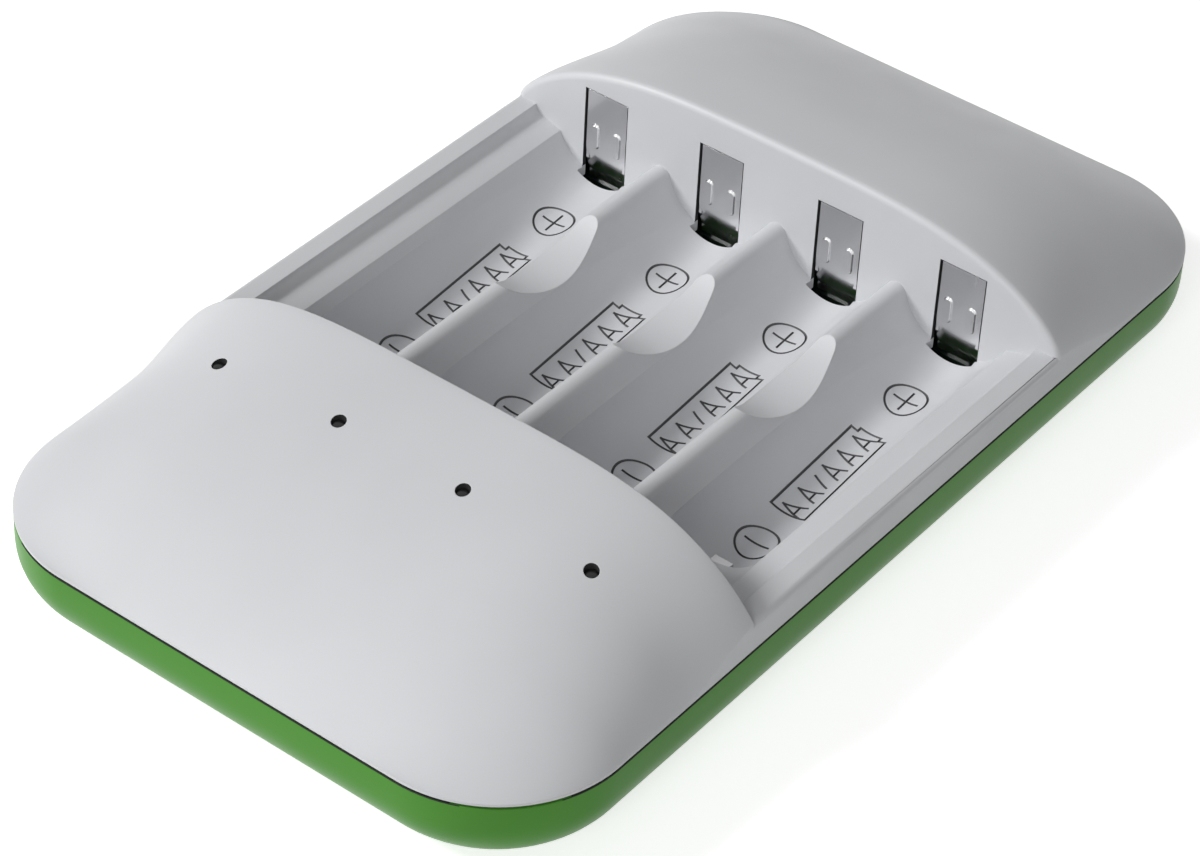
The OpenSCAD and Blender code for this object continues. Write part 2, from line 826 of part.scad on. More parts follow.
module screws() {
    color("dimgray") for (p = screw_spots) {
        translate([p[0], p[1], foot_h + head_seat - head_h]) {
            difference() {
                cylinder(r = head_r, h = head_h);
                translate([0, 0, -over]) cylinder(r = drive_r, h = drive_d + over, $fn = 6);
            }
            cylinder(r = screw_r, h = head_h + screw_l - screw_point);
            translate([0, 0, head_h + screw_l - screw_point])
                cylinder(r1 = screw_r, r2 = screw_tip_r, h = screw_point);
        }
    }
}

module feet() {
    color("dimgray") for (sx = [-1, 1]) {
        for (sy = [-1, 1]) {
            translate([sx * (body_w / 2 - foot_in[0]), sy * (body_l / 2 - foot_in[1]), 0]) rotate_extrude() {
                translate([0, foot_edge_r]) square([foot_r, foot_t - foot_edge_r]);
                square([foot_r - foot_edge_r, foot_edge_r]);
                translate([foot_r - foot_edge_r, foot_edge_r]) circle(foot_edge_r);
            }
        }
    }
}

top_shell();
bottom_shell();
main_board();
front_board();
link_cable();
usb_shell();
usb_tongue();
charge_chip();
power_inductor();
capacitors();
transistors();
for (i = bays) {
    plus_contact(i);
    minus_contact(i);
    minus_spring(i);
    led(i);
    light_guide(i);
}
screws();
feet();
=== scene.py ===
import math

import bmesh
import bpy
import numpy as np
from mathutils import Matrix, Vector


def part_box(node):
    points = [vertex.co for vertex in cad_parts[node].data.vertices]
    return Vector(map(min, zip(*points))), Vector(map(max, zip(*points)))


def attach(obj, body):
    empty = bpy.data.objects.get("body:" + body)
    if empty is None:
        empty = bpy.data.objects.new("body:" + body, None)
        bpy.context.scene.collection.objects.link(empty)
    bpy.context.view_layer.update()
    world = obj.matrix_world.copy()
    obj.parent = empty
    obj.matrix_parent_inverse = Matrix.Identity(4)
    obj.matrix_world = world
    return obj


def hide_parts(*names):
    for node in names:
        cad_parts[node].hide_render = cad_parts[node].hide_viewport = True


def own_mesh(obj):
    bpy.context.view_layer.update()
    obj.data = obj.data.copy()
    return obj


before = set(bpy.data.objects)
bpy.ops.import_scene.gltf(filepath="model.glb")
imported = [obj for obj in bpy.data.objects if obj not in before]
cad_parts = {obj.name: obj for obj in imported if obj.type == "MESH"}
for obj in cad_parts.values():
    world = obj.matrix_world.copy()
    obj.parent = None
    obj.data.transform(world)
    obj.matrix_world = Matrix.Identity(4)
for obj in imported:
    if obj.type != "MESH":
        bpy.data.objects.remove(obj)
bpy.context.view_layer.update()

# Lengths are in millimetres, in the model's frame: origin in the middle of the
# footprint on the table, +Y to the back. MM turns them into Blender's metres.
MM = 0.001


def node_box(node):
    """Limits of a node of the frame, in millimetres."""
    low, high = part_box(node)
    return np.array(low) / MM, np.array(high) / MM


# Driving sizes, read from the frame where it has them
top_low, top_high = node_box("top_shell")
pan_low, pan_high = node_box("bottom_shell")
BODY_W = top_high[0] - top_low[0]
BODY_L = top_high[1] - top_low[1]
SEAM_H = pan_high[2]
FOOT_H = pan_low[2]
BACK_Y = BODY_L / 2
FRONT_L, BACK_L = 38.4, 39.4
LIP_Y = FRONT_L - BACK_Y
WALL_Y = BACK_Y - BACK_L
MAIN_TOP = node_box("main_board")[1][2]

# Shells
CORNER_R = 16
WALL = 1.6
FLOOR_T = 1.4
EDGE_R = 6.5
RAIL_H = 3.75
RAIL_TOP = SEAM_H + RAIL_H
SEAM_GAP = 0.35
SEAM_DEPTH = 0.5
RIM_H = 0.3
BACK_RISE = top_high[2] - SEAM_H
FRONT_RISE = BACK_RISE - 0.25
BACK_FILLET, FRONT_FILLET = 0.9, 0.3
RAIL_EDGE_R = 0.8
RAIL_ROOT = 32
RAIL_LAP = 1.5
SEAM_RIM_R = 0.1
BOSS_R, BOSS_FOOT = 3.2, 1.2
WELL_R, WELL_H = 2.7, 2.8
SCREW_HOLE_R, SCREW_HOLE_H = 1.35, 12
RECESS_R, RECESS_H = 4.65, 1.2
INLET_W, INLET_H = 9.34, 3.66

# Bays
BAY_PITCH = 17
BAYS = [(i - 1.5) * BAY_PITCH for i in range(4)]
OUTER_BAY = BAYS[-1]
RIDGE_H = 14
AA_R = 7.5
AA_AXIS = RIDGE_H + 1.3
AA_FLOOR = AA_AXIS - AA_R
SKIN = 1.5
AAA_R = 5.85
AAA_SKIN = 1.3
AAA_TILT = math.radians(5.2)
AAA_FLOOR = AA_FLOOR - 0.2
SCOOP_R = 12.8
SCOOP_Y = WALL_Y - 21.7
SCOOP_Z = RIDGE_H - 3.4 + SCOOP_R
RAIL_IN = BODY_W / 2 - 2.95
COVE_R = 1.4
LEDGE_Z = AA_AXIS - 3.3

# Contacts, lights and fixings
AA_L, AAA_L = 50.5, 44.5
PANEL_T = 1.2
WINDOW_W = 6.35
WINDOW_TOP = RIDGE_H + 6
WINDOW_SILL = AA_FLOOR + 0.6
NOTCH_D = 1.08
PLATE_Y = WALL_Y + 0.2
PLATE_GAP = 0.25
CONTACT_T = 0.4
UPRIGHT_W = 4.4
TRAVEL = 1.6
PRELOAD = 0.6
MINUS_Y = PLATE_Y - AA_L + PRELOAD
MINUS_SHORT_Y = PLATE_Y - AAA_L + PRELOAD
STRIP_Z = AA_FLOOR - SKIN - 0.25 - CONTACT_T
GROOVE_END = MINUS_SHORT_Y - CONTACT_T - TRAVEL - 0.7
COIL_Z = STRIP_Z + 4
COIL_R, WIRE_R = 1.5, 0.25
POST_R, POST_L = 1.05, 1.4
STRIP_GAP = 0.15
TAB_SLOT_HALF = 1.35
LED_Y = LIP_Y - 10.5
LED_HOLE_R = 0.85
USB_Z = 8
SCREW_X, SCREW_Y = 28, BACK_Y - 21.6
FOOT_X, FOOT_Y = BODY_W / 2 - 14, BACK_Y - 13.6
CORNERS = [(sx, sy) for sx in (-1, 1) for sy in (-1, 1)]
SCREWS = [(sx * SCREW_X, sy * SCREW_Y) for sx, sy in CORNERS]
FEET = [(sx * FOOT_X, sy * FOOT_Y) for sx, sy in CORNERS]

# Marks
MARK_W = 0.34
MARK_DEPTH = 0.24
MARK_STEP = 0.5
MARK_FOOT, MARK_TOP = 0.15, 1.3
MARKS_LOW, MARKS_HIGH = WALL_Y - 41.2, WALL_Y - 6.6
MARKS_HALF = 2.8

# How far a cutter goes past what it cuts, and a height above the whole part
CUT_OVER = 1
ABOVE_ALL = 60
# Points across and along the hoods' skins
OUTER_GRID = (128, 56)
INNER_GRID = (48, 20)


# Mesh tools

def mesh_object(name, verts, faces):
    """A mesh object from points in millimetres."""
    mesh = bpy.data.meshes.new(name)
    mesh.from_pydata((np.asarray(verts, float) * MM).tolist(), [], faces)
    obj = bpy.data.objects.new(name, mesh)
    bpy.context.collection.objects.link(obj)
    return obj


def face_outwards(obj):
    """Turns the faces of a closed mesh outwards."""
    bm = bmesh.new()
    bm.from_mesh(obj.data)
    bmesh.ops.recalc_face_normals(bm, faces=bm.faces)
    bm.to_mesh(obj.data)
    bm.free()
    return obj


def ring_faces(count, ring, closed):
    """Quads between rings of points laid one after another."""
    rows = range(count if closed else count - 1)
    return [[i * ring + k, i * ring + (k + 1) % ring,
             (i + 1) % count * ring + (k + 1) % ring, (i + 1) % count * ring + k]
            for i in rows for k in range(ring)]


def grid_quads(rows, cols):
    """Quads of a grid of points laid row by row."""
    return [[i * cols + j, i * cols + j + 1, (i + 1) * cols + j + 1, (i + 1) * cols + j]
            for i in range(rows - 1) for j in range(cols - 1)]


def grid_border(rows, cols):
    """Numbers of a grid's points around its border, in order."""
    return ([i * cols for i in range(rows)] + [(rows - 1) * cols + j for j in range(1, cols)]
            + [i * cols + cols - 1 for i in range(rows - 2, -1, -1)] + list(range(cols - 2, 0, -1)))


def full_turn(steps):
    """Angles once around, in radians."""
    return np.arange(steps) * 2 * np.pi / steps


def loft(name, rings, closed=False):
    """A closed solid through rings of points; its ends are capped unless it closes on itself."""
    rings = np.asarray(rings, float)
    count, ring = rings.shape[:2]
    faces = ring_faces(count, ring, closed)
    if not closed:
        faces.append(list(range(ring))[::-1])
        faces.append([(count - 1) * ring + k for k in range(ring)])
    return face_outwards(mesh_object(name, rings.reshape(-1, 3), faces))


def box(x, y, z):
    """A block between pairs of limits."""
    ring = [(x[0], z[0]), (x[1], z[0]), (x[1], z[1]), (x[0], z[1])]
    return loft("block", [[(px, py, pz) for px, pz in ring] for py in y])


def along_y(section, rows):
    """A drawing in X and Z carried along Y, cut into rows."""
    return loft("bar", [[(x, y, z) for x, z in section] for y in rows])


def upright(name, centre, radii_at, steps=48):
    """A round body on a vertical axis, from pairs of height and radius."""
    x, y = centre
    return loft(name, [[(x + r * math.cos(a), y + r * math.sin(a), z) for a in full_turn(steps)]
                       for z, r in radii_at])


def arc(cx, cz, r, start, end, steps):
    """Points of an arc in X and Z, angles in degrees from +X."""
    turn = np.radians(np.linspace(start, end, steps + 1))
    return [(cx + r * math.cos(a), cz + r * math.sin(a)) for a in turn]


def disc(cx, cz, r, steps):
    """Points of a full circle in X and Z."""
    return arc(cx, cz, r, 0, 360 - 360 / steps, steps - 1)


def stadium(width, height, steps=16):
    """Points of a slot's outline around the origin."""
    r = height / 2
    turn = np.linspace(-np.pi / 2, np.pi / 2, steps)
    right = [(width / 2 - r + r * math.cos(a), r * math.sin(a)) for a in turn]
    return right + [(-x, -z) for x, z in right]


def boolean(target, others, operation):
    """Adds, cuts or intersects closed meshes, in order, and removes them."""
    for other in others:
        step = target.modifiers.new("step", "BOOLEAN")
        step.solver = "MANIFOLD"
        step.operation = operation
        step.object = other
    graph = bpy.context.evaluated_depsgraph_get()
    mesh = bpy.data.meshes.new_from_object(target.evaluated_get(graph))
    target.modifiers.clear()
    target.data = mesh
    for other in others:
        bpy.data.objects.remove(other)
    return target


def merged(name, objects):
    """Joins meshes that don't touch into one object."""
    bm = bmesh.new()
    for obj in objects:
        bm.from_mesh(obj.data)
        bpy.data.objects.remove(obj)
    mesh = bpy.data.meshes.new(name)
    bm.to_mesh(mesh)
    bm.free()
    obj = bpy.data.objects.new(name, mesh)
    bpy.context.collection.objects.link(obj)
    return obj


def smooth(obj, angle=30):
    """Shades smooth, with an edge wherever faces meet at more than the angle."""
    bm = bmesh.new()
    bm.from_mesh(obj.data)
    limit = math.radians(angle)
    for face in bm.faces:
        face.smooth = True
    for edge in bm.edges:
        edge.smooth = len(edge.link_faces) == 2 and edge.calc_face_angle() < limit
    bm.to_mesh(obj.data)
    bm.free()
    return obj


def dress(obj, body, slot, *materials):
    """Gives a piece its body and its materials; its slot is not used."""
    places = [face.material_index for face in obj.data.polygons]
    obj.data.materials.clear()
    for material in materials:
        obj.data.materials.append(material)
    obj.data.polygons.foreach_set("material_index", places)
    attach(obj, body)
    return obj


# The hoods

def ease(t):
    """A smooth step from 0 to 1."""
    return t * t * (3 - 2 * t)


def hood_form(inner, back):
    """Sizes of a hood's outer surface, or of its inner one about a wall further in."""
    end_walls, side_walls = 2.1, 1.25
    return dict(
        length=(BACK_L if back else FRONT_L) - inner * end_walls * WALL,
        half=BODY_W / 2 - inner * side_walls * WALL,
        corner=CORNER_R - inner * side_walls * WALL,
        rise=(BACK_RISE if back else FRONT_RISE) - inner * WALL,
        rail=RAIL_H - inner * WALL,
        straight=0.132 if back else 0.505,
        power=2.28 if back else 2.0,
        square=(3.5, 4.1) if back else (4.4, 4.9),
        bow=(1.32, 1.2) if back else (1.08, 1.13),
        fade=0.41 if back else 0.31)


def hood_row(form, u, s):
    """One row of a hood's surface, u from its pocket edge; s are shares of its half width."""
    t = u / form["length"]
    k = ease(min(t / form["fade"], 1))
    crown = RIM_H + (form["rise"] - RIM_H) * (
        1 - form["straight"] * t - (1 - form["straight"]) * t ** form["power"])
    base = min(RIM_H + (form["rail"] - RIM_H) * (1 - k), crown)
    n = form["square"][0] + (form["square"][1] - form["square"][0]) * k
    m = form["bow"][0] + (form["bow"][1] - form["bow"][0]) * k
    r = form["corner"]
    half = form["half"] - r + math.sqrt(max(r * r - max(0, u - form["length"] + r) ** 2, 0))
    z = SEAM_H + base + (crown - base) * (1 - np.minimum(abs(s), 1) ** n) ** (1 / m)
    return half * s, z


def inward(x, z):
    """Unit normals of a row's arch, pointing into the hood."""
    dx, dz = np.gradient(x), np.gradient(z)
    length = np.hypot(dx, dz)
    nx, nz = dz / length, -dx / length
    nx[0], nz[0], nx[-1], nz[-1] = 1, 0, -1, 0
    return nx, nz


def hood_grid(form, start, across, along, fillet=0, fillet_steps=6):
    """Rows of a hood's surface from its pocket edge, which is rounded by the fillet."""
    s = np.sin(np.linspace(-np.pi / 2, np.pi / 2, across + 1))
    rows = []
    if fillet:
        for phi in np.linspace(0, np.pi / 2, fillet_steps + 1)[:-1]:
            u = fillet * (1 - math.cos(phi))
            inset = fillet * (1 - math.sin(phi))
            x, z = hood_row(form, u, s)
            nx, nz = inward(x, z)
            rows.append(np.column_stack([x + nx * inset, np.full_like(x, u), z + nz * inset]))
    for t in np.linspace(0, np.pi / 2, along + 1):
        first = start + fillet
        u = first + math.sin(t) * (form["length"] - first)
        x, z = hood_row(form, min(u, form["length"]), s)
        rows.append(np.column_stack([x, np.full_like(x, u), z]))
    return np.array(rows)


def hood_solid(name, grid, back, drop=0):
    """A hood's surface closed down to the parting line, or to a drop below it, in its place."""
    rows, cols = grid.shape[:2]
    edge = grid_border(rows, cols)
    count, n = rows * cols, len(edge)
    points = grid.reshape(-1, 3)
    low = points[edge] * (1, 1, 0) + (0, 0, SEAM_H - drop)
    faces = grid_quads(rows, cols)
    faces += [[edge[k], count + k, count + (k + 1) % n, edge[(k + 1) % n]] for k in range(n)]
    faces.append(list(range(count, count + n)))
    place = np.concatenate([points, low])
    place[:, 1] = WALL_Y + place[:, 1] if back else LIP_Y - place[:, 1]
    return face_outwards(mesh_object(name, place, faces))


def hood(back, pocket_wall, fillet):
    """The hollow pillow of a hood, open below."""
    skin = hood_solid("hood", hood_grid(hood_form(0, back), 0, *OUTER_GRID, fillet), back)
    core = hood_solid("core", hood_grid(hood_form(1, back), pocket_wall, *INNER_GRID), back, CUT_OVER)
    return boolean(skin, [core], "DIFFERENCE")


# The tray

def trough_z(x, y):
    """Height of the trough's floor, with the AAA groove in it, near a bay's middle."""
    dx = x - BAYS[int(np.argmin([abs(x - b) for b in BAYS]))]
    trough = AA_AXIS - math.sqrt(AA_R ** 2 - min(abs(dx), AA_R) ** 2)
    groove = groove_axis(y) - math.sqrt(AAA_R ** 2 - min(abs(dx), AAA_R) ** 2) / math.cos(AAA_TILT)
    return min(trough, groove)


def groove_axis(y):
    """Height of the AAA groove's axis."""
    return AAA_FLOOR + AAA_R / math.cos(AAA_TILT) - (WALL_Y - y) * math.tan(AAA_TILT)


def room_profile():
    """The tray's upper surface from one rail to the other, in X and Z."""
    ridge_reach = AA_R - (AA_AXIS - RIDGE_H)
    sink = ((BAY_PITCH / 2) ** 2 - ridge_reach ** 2) / (2 * ridge_reach)
    ridge_r = sink - (AA_AXIS - RIDGE_H)
    lean = math.degrees(math.asin(BAY_PITCH / 2 / (AA_R + ridge_r)))
    ledge = math.degrees(math.asin((AA_AXIS - LEDGE_Z) / AA_R))
    half = []
    for x in BAYS[2:]:
        last = x == OUTER_BAY
        half += arc(x - BAY_PITCH / 2, AA_AXIS - sink, ridge_r, 90, 90 - lean, 10)[:-1]
        half += arc(x, AA_AXIS, AA_R, -90 - lean, -ledge if last else -90 + lean, 48)
        if not last:
            half += arc(x + BAY_PITCH / 2, AA_AXIS - sink, ridge_r, 90 + lean, 90, 10)[1:-1]
    half += arc(RAIL_IN - COVE_R, RAIL_TOP, COVE_R, -90, 0, 10)
    return [(-x, z) for x, z in half[:0:-1]] + half


def groove(bay, r, start, end, steps=96):
    """The AAA groove's cylinder between two places in y, its ends upright."""
    tall = r / math.cos(AAA_TILT)
    return loft("groove", [[(bay + r * math.cos(a), y, groove_axis(y) + tall * math.sin(a))
                            for a in full_turn(steps)] for y in np.linspace(start, end, 24)])


def across_x(y, z, r, x, steps):
    """A cylinder along X."""
    return loft("roll", [[(px, y + r * math.cos(a), z + r * math.sin(a)) for a in full_turn(steps)]
                         for px in np.linspace(x[0], x[1], 52)])


def tray():
    """The four troughs with their grooves, ridges, scoops, ledges and rails."""
    front, back = LIP_Y - WALL / 2, WALL_Y + PANEL_T / 2
    sides, bays = (-BODY_W, BODY_W), (-OUTER_BAY, OUTER_BAY)
    body = None
    for bay in BAYS:
        pipe = along_y(disc(bay, AA_AXIS, AA_R + SKIN, 48), (front, back))
        body = boolean(body, [pipe], "UNION") if body else pipe
    adds = [groove(bay, AAA_R + AAA_SKIN, GROOVE_END - AAA_SKIN, back, 48) for bay in BAYS]
    roll = across_x(SCOOP_Y, SCOOP_Z, SCOOP_R + SKIN, bays, 96)
    boolean(roll, [box(sides, (LIP_Y, WALL_Y), (AA_FLOOR, RIDGE_H))], "INTERSECT")
    adds.append(roll)
    edge_x, edge_z = BODY_W / 2 - RAIL_EDGE_R, RAIL_TOP - RAIL_EDGE_R
    rail = [(RAIL_ROOT, SEAM_H), (BODY_W / 2, SEAM_H)]
    rail += arc(edge_x, edge_z, RAIL_EDGE_R, 0, 90, 8) + [(RAIL_ROOT, RAIL_TOP)]
    for side in (-1, 1):
        adds.append(along_y([(side * x, z) for x, z in rail], (LIP_Y - RAIL_LAP, WALL_Y + RAIL_LAP)))
    boolean(body, adds, "UNION")
    lid = box(sides, (LIP_Y - CUT_OVER, WALL_Y + CUT_OVER), (RAIL_TOP, ABOVE_ALL))
    boolean(body, [lid], "DIFFERENCE")
    room = room_profile() + [(RAIL_IN, ABOVE_ALL), (-RAIL_IN, ABOVE_ALL)]
    cuts = [along_y(room, np.linspace(LIP_Y, WALL_Y, 40))]
    cuts.append(across_x(SCOOP_Y, SCOOP_Z, SCOOP_R, bays, 192))
    cuts += [groove(bay, AAA_R, GROOVE_END, WALL_Y) for bay in BAYS]
    return boolean(body, cuts, "DIFFERENCE")


def densify(points, step, closed=True):
    """Splits the sides of an outline, or of an open line, into short steps."""
    out = []
    for a, b in zip(points, points[1:] + points[:1] if closed else points[1:]):
        a, b = np.array(a, float), np.array(b, float)
        count = max(1, int(np.ceil(np.linalg.norm(b - a) / step)))
        out += [a + (b - a) * k / count for k in range(count)]
    return out if closed else out + [np.array(points[-1], float)]


def unit(rows):
    """Rows of vectors at length 1."""
    return rows / np.linalg.norm(rows, axis=1)[:, None]


def stroke(bay, points, closed=False):
    """A line to engrave in a trough: a narrow V whose point runs MARK_DEPTH below the floor."""
    points = np.asarray(points if closed else densify(points, MARK_STEP, False), float)
    if closed:
        ahead = np.roll(points, -1, 0) - points
        behind = points - np.roll(points, 1, 0)
    else:
        ahead = np.vstack([points[1:] - points[:-1], points[-1:] - points[-2:-1]])
        behind = np.vstack([points[1:2] - points[:1], points[1:] - points[:-1]])
    ahead, behind = unit(ahead), unit(behind)
    mid = unit(ahead + behind)
    reach = MARK_W / 2 / np.maximum((mid * ahead).sum(1), 0.5)
    side = np.column_stack([-mid[:, 1], mid[:, 0]]) * reach[:, None]
    just_over, well_over = 0.05, 0.5
    section = ((MARK_FOOT, -MARK_DEPTH), (-MARK_FOOT, -MARK_DEPTH), (-MARK_TOP, just_over),
               (MARK_TOP, just_over), (-MARK_TOP, well_over), (MARK_TOP, well_over))
    rings = []
    for p, q in zip(points, side):
        ring = []
        for share, rise in section:
            x, y = p + share * q
            ring.append((bay + x, y, trough_z(bay + x, y) + rise))
        rings.append(ring)
    return loft("stroke", rings, closed)


def circle(y, r, steps=40):
    """Points of a circle in X and Y around a place on the bay's middle line."""
    return [(r * math.cos(a), y + r * math.sin(a)) for a in full_turn(steps)]


def marks(bay):
    """Engraved marks of one bay, in groups whose lines don't touch each other."""
    plus_y, minus_y, ring_r, arm = WALL_Y - 9.4, WALL_Y - 37.6, 2.4, 1.65
    low, high, half, nub, step = WALL_Y - 31.9, WALL_Y - 16.2, 2.25, 1.35, 0.6
    cell = [(-half, low), (half, low), (half, high - step), (nub, high - step), (nub, high),
            (-nub, high), (-nub, high - step), (-half, high - step)]
    pitch, gap = 2.9, 4.5
    first = (low + high - step) / 2 - (3 * pitch + gap) / 2
    letters = [first, first + pitch, first + pitch + gap, first + 2 * pitch + gap, first + 3 * pitch + gap]
    tall, foot = 1.45, 1.0
    bar_x, bar = tall * 0.36, foot * 0.68
    slash_y, slash_x, slash_half = letters[1] + gap / 2, tall * 0.8, 0.5
    rings = [stroke(bay, circle(plus_y, ring_r), True), stroke(bay, circle(minus_y, ring_r), True),
             stroke(bay, densify(cell, MARK_STEP), True)]
    one = [stroke(bay, [(-arm, y), (arm, y)]) for y in (plus_y, minus_y)]
    two = [stroke(bay, [(0, plus_y - arm), (0, plus_y + arm)])]
    three = []
    for y in letters:
        one.append(stroke(bay, [(tall, y - foot), (-tall, y)]))
        two.append(stroke(bay, [(-tall, y), (tall, y + foot)]))
        three.append(stroke(bay, [(bar_x, y - bar), (bar_x, y + bar)]))
    three.append(stroke(bay, [(slash_x, slash_y - slash_half), (-slash_x, slash_y + slash_half)]))
    return rings, one, two, three


def top_shell():
    """The whole top moulding: tray, hoods and spring posts, with its openings and marks."""
    shell = tray()
    post_root, slack = 0.5, 0.1
    post_rows = (LIP_Y - post_root, LIP_Y + POST_L)
    posts = [along_y(disc(bay, COIL_Z, POST_R, 24), post_rows) for bay in BAYS]
    hoods = [hood(True, PANEL_T, BACK_FILLET), hood(False, WALL, FRONT_FILLET)]
    boolean(shell, hoods + posts, "UNION")
    window_depth, notch_low, tab_room = 0.15, 2, 0.6
    hole = [(12, LED_HOLE_R), (40, LED_HOLE_R)]
    behind = WALL_Y + PANEL_T + 2 * slack
    upright_half = UPRIGHT_W / 2 + STRIP_GAP
    upright_rows = (MINUS_Y - CONTACT_T - TRAVEL - slack, MINUS_Y + slack)
    tab_rows = (GROOVE_END - AAA_SKIN - tab_room, GROOVE_END + slack)
    strip_low, strip_high = STRIP_Z - STRIP_GAP, STRIP_Z + CONTACT_T + STRIP_GAP
    cuts = []
    for bay in BAYS:
        window = (bay - WINDOW_W / 2, bay + WINDOW_W / 2)
        cuts.append(box(window, (WALL_Y - NOTCH_D, behind), (notch_low, WINDOW_SILL)))
        cuts.append(box(window, (WALL_Y - window_depth, behind), (AA_FLOOR, WINDOW_TOP)))
        cuts.append(box((bay - upright_half, bay + upright_half), upright_rows, (strip_low, LEDGE_Z)))
        cuts.append(box((bay - TAB_SLOT_HALF, bay + TAB_SLOT_HALF), tab_rows, (strip_low, strip_high)))
        cuts.append(upright("hole", (bay, LED_Y), hole))
    boolean(shell, cuts, "DIFFERENCE")
    for layer in zip(*[marks(bay) for bay in BAYS]):
        cutter = merged("marks", [line for lines in layer for line in lines])
        boolean(shell, [cutter], "DIFFERENCE")
    shell.name = shell.data.name = "top_moulding"
    paint_openings(shell)
    return shell


def paint_openings(shell):
    """Paints shade: the marks' grooves take the second material, and the windows' reveals and light holes'
    walls the third, dark colours that stand for the shade in them.
    """
    near, touch, upright_z, above_pan = 0.05, 0.01, 0.1, 3
    shallow, deep = MARK_DEPTH / 5, MARK_DEPTH * 1.3
    for face in shell.data.polygons:
        x, y, z = face.center / MM
        from_bay = min(abs(x - bay) for bay in BAYS)
        from_side = min(abs(abs(x - bay) - WINDOW_W / 2) for bay in BAYS)
        from_hole = min(math.hypot(x - bay, y - LED_Y) for bay in BAYS)
        # Faces down in the engraved lines take the second material, painted shade in the grooves.
        if MARKS_LOW < y < MARKS_HIGH and z > above_pan and from_bay < MARKS_HALF:
            if shallow < trough_z(x, y) - z < deep:
                face.material_index = 1
        # The windows' side and top reveals take painted shade.
        if WALL_Y - near < y < WALL_Y + PANEL_T + near and AA_FLOOR + 1 < z < WINDOW_TOP + near:
            if from_side < touch or abs(z - WINDOW_TOP) < touch:
                face.material_index = 2
        # The upright walls of the light holes take painted shade.
        if abs(face.normal.z) < upright_z and from_hole < LED_HOLE_R + 2 * touch:
            face.material_index = 2


# The bottom shell

def outline(inset, steps=24):
    """Points of the body's outline, stepped in by the inset."""
    r, cx, cy = CORNER_R - inset, BODY_W / 2 - CORNER_R, BACK_Y - CORNER_R
    out = []
    for q, (sx, sy) in enumerate(((1, 1), (-1, 1), (-1, -1), (1, -1))):
        for k in range(steps + 1):
            a = math.pi / 2 * (q + k / steps)
            out.append((sx * cx + r * math.cos(a), sy * cy + r * math.sin(a)))
    return out


def bottom_shell():
    """The green pan: edge, groove of the parting line and hollow, with bosses, wells and the inlet."""
    top, floor = SEAM_H - SEAM_GAP, FOOT_H + FLOOR_T
    lip, boss_top, inner_r = SEAM_H - 0.02, SEAM_H - 0.03, EDGE_R - WALL
    levels = [(EDGE_R * (1 - math.sin(a)), FOOT_H + EDGE_R * (1 - math.cos(a)))
              for a in np.linspace(0, math.pi / 2, 15)]
    levels += [(SEAM_RIM_R * (1 - math.cos(a)), top - SEAM_RIM_R + SEAM_RIM_R * math.sin(a))
               for a in np.linspace(0, math.pi / 2, 6)]
    levels += [(SEAM_DEPTH, top), (SEAM_DEPTH, lip), (WALL, lip)]
    levels += [(WALL + inner_r * (1 - math.sin(a)), floor + inner_r * (1 - math.cos(a)))
               for a in np.linspace(math.pi / 2, 0, 8)]
    shell = loft("pan", [[(x, y, z) for x, y in outline(inset)] for inset, z in levels])
    boss = [(BOSS_FOOT, BOSS_R), (boss_top, BOSS_R)]
    boolean(shell, [upright("boss", place, boss) for place in SCREWS], "UNION")
    well = [(-CUT_OVER, WELL_R), (WELL_H, WELL_R), (WELL_H, SCREW_HOLE_R), (SCREW_HOLE_H, SCREW_HOLE_R)]
    recess = [(-CUT_OVER, RECESS_R), (RECESS_H, RECESS_R)]
    cuts = [upright("well", place, well) for place in SCREWS]
    cuts += [upright("recess", place, recess) for place in FEET]
    inlet = [(x, USB_Z + z) for x, z in stadium(INLET_W, INLET_H)]
    inlet_depth, slack = 4, 0.1
    cuts.append(along_y(inlet, (BACK_Y - inlet_depth, BACK_Y + CUT_OVER)))
    boolean(shell, cuts, "DIFFERENCE")
    shell.name = shell.data.name = "bottom_moulding"
    in_x, in_y = BODY_W / 2 - WALL - slack, BACK_Y - WALL - slack
    # The faces of the parting line's groove, at the top of the rim, take the second material: painted
    # shadow in the gap.
    rim_low = top - SEAM_RIM_R * 0.6
    for face in shell.data.polygons:
        x, y, z = face.center / MM
        if z > rim_low and (abs(x) >= in_x or abs(y) >= in_y):
            face.material_index = 1
    return shell


# Materials

def material(name):
    """A new material with its node tree and its shader."""
    mat = bpy.data.materials.new(name)
    mat.use_nodes = True
    tree = mat.node_tree
    shader = tree.nodes["Principled BSDF"]
    return mat, tree, shader


def add(tree, kind, **values):
    """A node with its inputs or its own settings given by name."""
    node = tree.nodes.new(kind)
    for key, value in values.items():
        if key in node.inputs:
            node.inputs[key].default_value = value
        else:
            setattr(node, key, value)
    return node


def noise(tree, scale, detail=2.0, stretch=(1, 1, 1)):
    """Noise in the object's own metres."""
    place = add(tree, "ShaderNodeTexCoord")
    sized = add(tree, "ShaderNodeMapping")
    sized.inputs["Scale"].default_value = stretch
    tree.links.new(place.outputs["Object"], sized.inputs["Vector"])
    tex = add(tree, "ShaderNodeTexNoise", Scale=scale, Detail=detail)
    tree.links.new(sized.outputs["Vector"], tex.inputs["Vector"])
    return tex.outputs["Fac"]


def ramp(tree, source, low, high, at=(0.3, 0.7)):
    """A colour or grey ramp between two values."""
    node = add(tree, "ShaderNodeValToRGB")
    for element, value, place in zip(node.color_ramp.elements, (low, high), at):
        colour = value if isinstance(value, tuple) else (value,) * 3
        element.color = (*colour, 1)
        element.position = place
    tree.links.new(source, node.inputs["Fac"])
    return node.outputs["Color"]


